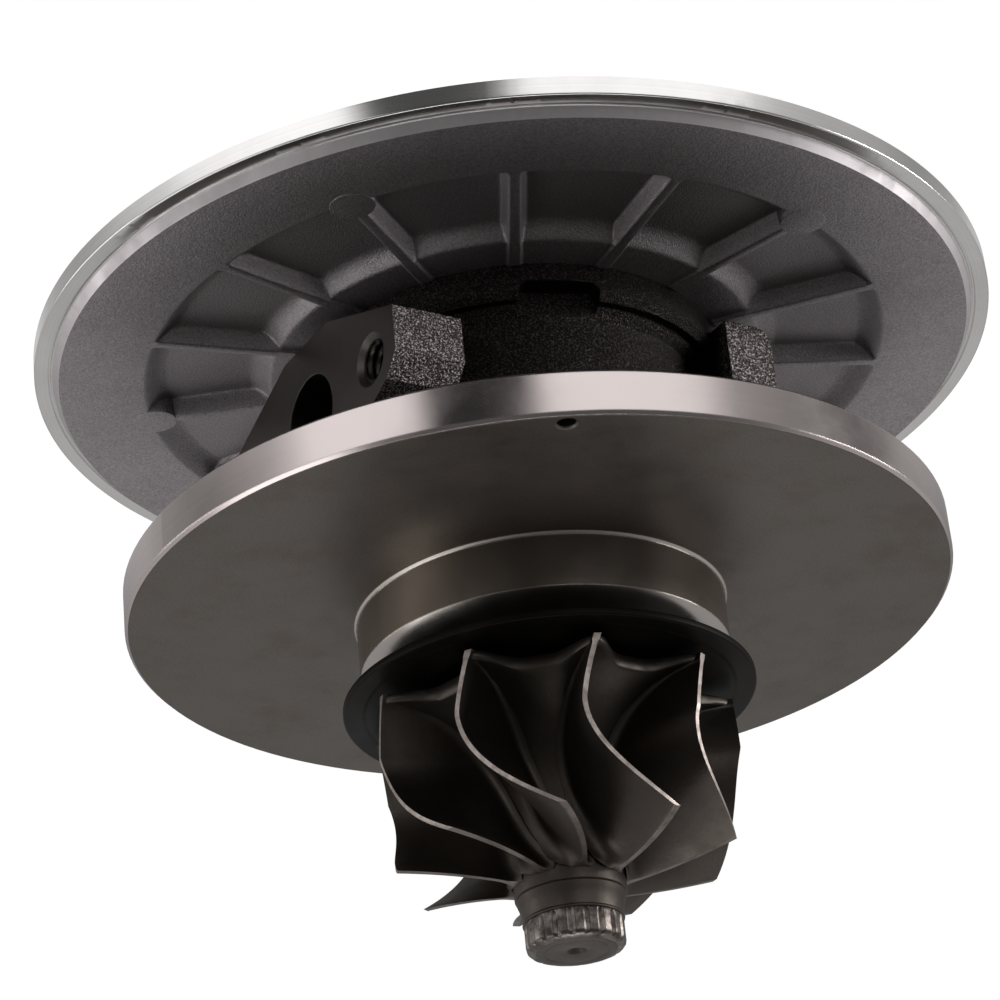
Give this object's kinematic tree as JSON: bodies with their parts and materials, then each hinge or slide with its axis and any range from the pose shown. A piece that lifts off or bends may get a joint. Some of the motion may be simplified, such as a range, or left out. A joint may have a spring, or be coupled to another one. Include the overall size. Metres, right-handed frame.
{
  "type": "turbocharger cartridge",
  "caption": "Turbocharger centre cartridge: bearing housing between a turbine flange and a ribbed compressor backplate, with a bladed rotor that spins on floating bushes.",
  "frame": {"origin": "on the shaft axis in the front face of the turbine flange", "axes": "+Z along the shaft towards the turbine wheel's nose, +X out of the oil drain"},
  "size_m": [0.113, 0.113, 0.1066],
  "materials": {
    "cast_iron": "as-cast body with turned flange",
    "shield_steel": "heat-darkened sheet",
    "nickel_alloy": "cast alloy with ground blade edges",
    "ground_steel": "ground",
    "spring_steel": "plain",
    "bearing_brass": "turned",
    "cast_aluminium": "die-cast with turned rim",
    "seal_rubber": "moulded",
    "screw_steel": "dark",
    "wheel_aluminium": "cast and machined"
  },
  "bodies": {
    "housing": {"bearing_housing": "cast_iron", "heat_shield": "shield_steel", "turbine_seal_ring": "spring_steel", "turbine_outer_circlip": "spring_steel", "turbine_inner_circlip": "spring_steel", "compressor_circlip": "spring_steel", "thrust_bearing": "bearing_brass", "thrust_dowels": "ground_steel", "compressor_seal_ring": "spring_steel", "backplate": "cast_aluminium", "joint_seal_ring": "seal_rubber", "cover_seal_ring": "seal_rubber", "backplate_screws": "screw_steel"},
    "rotor": {"turbine_wheel": "nickel_alloy", "rotor_shaft": "ground_steel", "thrust_washer": "ground_steel", "thrust_collar": "ground_steel", "compressor_wheel": "wheel_aluminium", "shaft_nut": "screw_steel"},
    "turbine_float": {"turbine_bush": "bearing_brass"},
    "compressor_float": {"compressor_bush": "bearing_brass"}
  },
  "joints": [
    {"name": "rotor_spin", "type": "hinge", "parent": "housing", "child": "rotor", "pos_m": [0, 0, 0], "axis": [0, 0, 1], "continuous": true},
    {"name": "turbine_bush_spin", "type": "hinge", "parent": "housing", "child": "turbine_float", "pos_m": [0, 0, 0], "axis": [0, 0, 1], "continuous": true},
    {"name": "compressor_bush_spin", "type": "hinge", "parent": "housing", "child": "compressor_float", "pos_m": [0, 0, 0], "axis": [0, 0, 1], "continuous": true}
  ]
}
